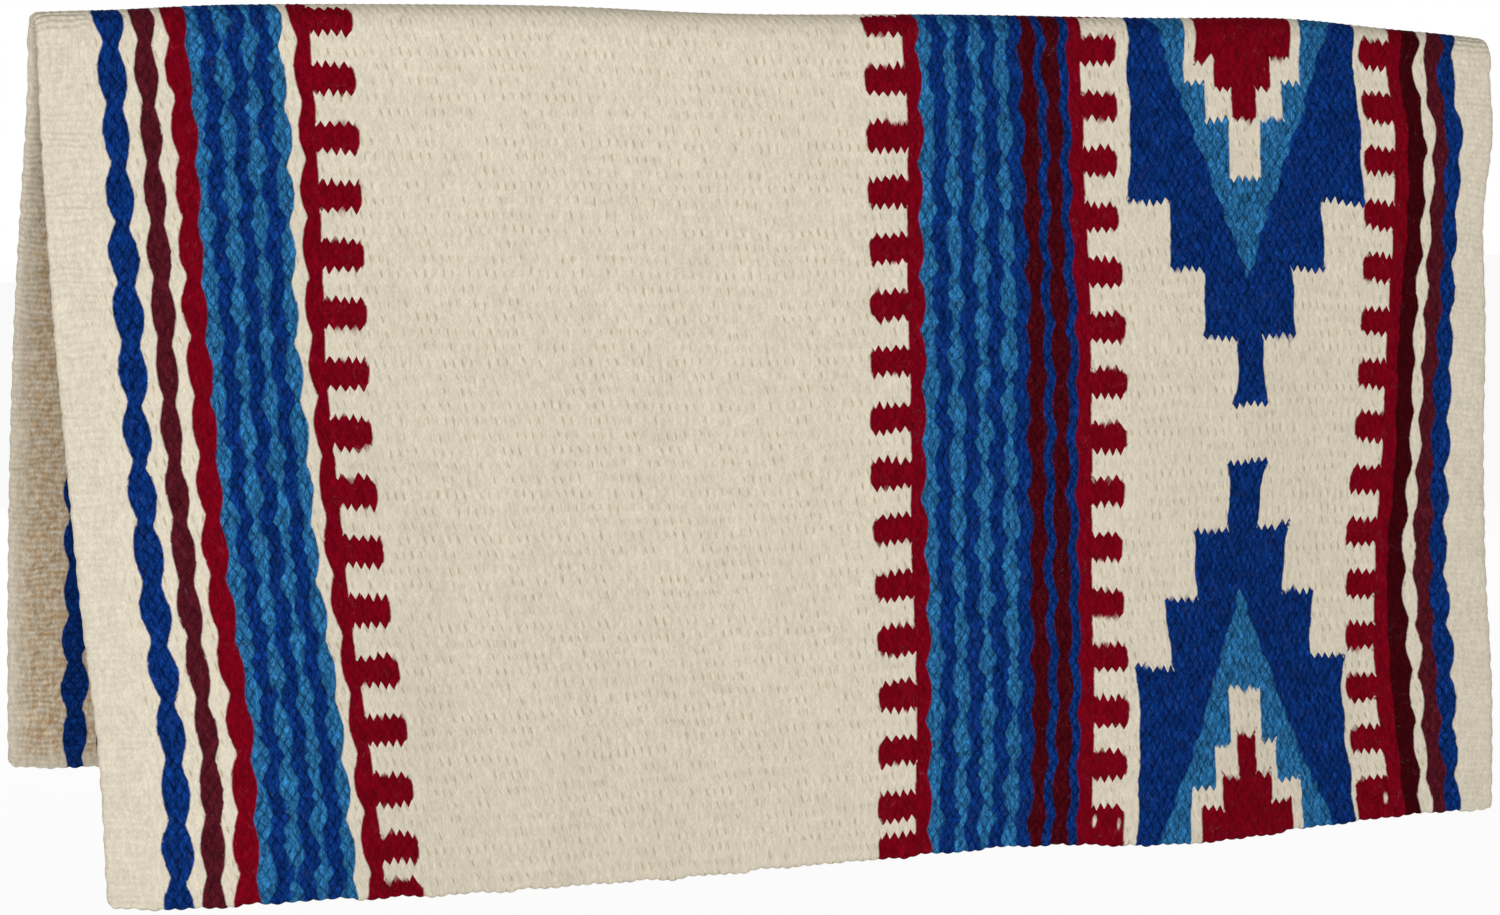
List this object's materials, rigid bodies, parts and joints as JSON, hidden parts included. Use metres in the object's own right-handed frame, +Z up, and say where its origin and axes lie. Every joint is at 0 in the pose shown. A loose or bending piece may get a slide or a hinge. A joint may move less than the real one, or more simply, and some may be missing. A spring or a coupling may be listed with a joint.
{
  "type": "folded wool saddle blanket",
  "caption": "Thick woven wool saddle blanket folded over a rail, with striped and stepped-diamond bands; both flaps swing open from the fold.",
  "frame": {"origin": "where the cloth's inner face bears on top of the rail, at mid width", "axes": "+X along the rail and fold, +Z up, the near flap hangs on the -Y side"},
  "size_m": [0.864, 0.2648, 0.488],
  "materials": {
    "cream_wool": "rough woven wool, undyed cream",
    "blue_wool": "rough woven wool, dyed royal and light blue",
    "red_wool": "rough woven wool, dyed crimson",
    "burgundy_wool": "rough woven wool, dyed burgundy",
    "maroon_wool": "rough woven wool, dyed maroon"
  },
  "bodies": {
    "fold": {"fold_left_selvage": "cream_wool", "fold_left_bars": "burgundy_wool", "fold_left_wave_band": "blue_wool", "fold_cream_field": "cream_wool", "fold_middle_wave_band": "blue_wool", "fold_maroon_bar": "maroon_wool", "fold_diamond_panel": "red_wool", "fold_right_bars": "burgundy_wool", "fold_right_selvage": "cream_wool"},
    "near_flap": {"near_left_selvage": "cream_wool", "near_left_bars": "burgundy_wool", "near_left_wave_band": "blue_wool", "near_cream_field": "cream_wool", "near_middle_wave_band": "blue_wool", "near_maroon_bar": "maroon_wool", "near_diamond_panel": "red_wool", "near_right_bars": "burgundy_wool", "near_right_selvage": "cream_wool"},
    "off_flap": {"off_left_selvage": "cream_wool", "off_left_bars": "burgundy_wool", "off_left_wave_band": "blue_wool", "off_cream_field": "cream_wool", "off_middle_wave_band": "blue_wool", "off_maroon_bar": "maroon_wool", "off_diamond_panel": "red_wool", "off_right_bars": "burgundy_wool", "off_right_selvage": "cream_wool"}
  },
  "joints": [
    {"name": "near_flap_swing", "type": "hinge", "parent": "fold", "child": "near_flap", "pos_m": [0, -0.014, -0.018], "axis": [-1, 0, 0], "range_deg": [0, 80]},
    {"name": "off_flap_swing", "type": "hinge", "parent": "fold", "child": "off_flap", "pos_m": [0, 0.014, -0.018], "axis": [1, 0, 0], "range_deg": [0, 70]}
  ]
}
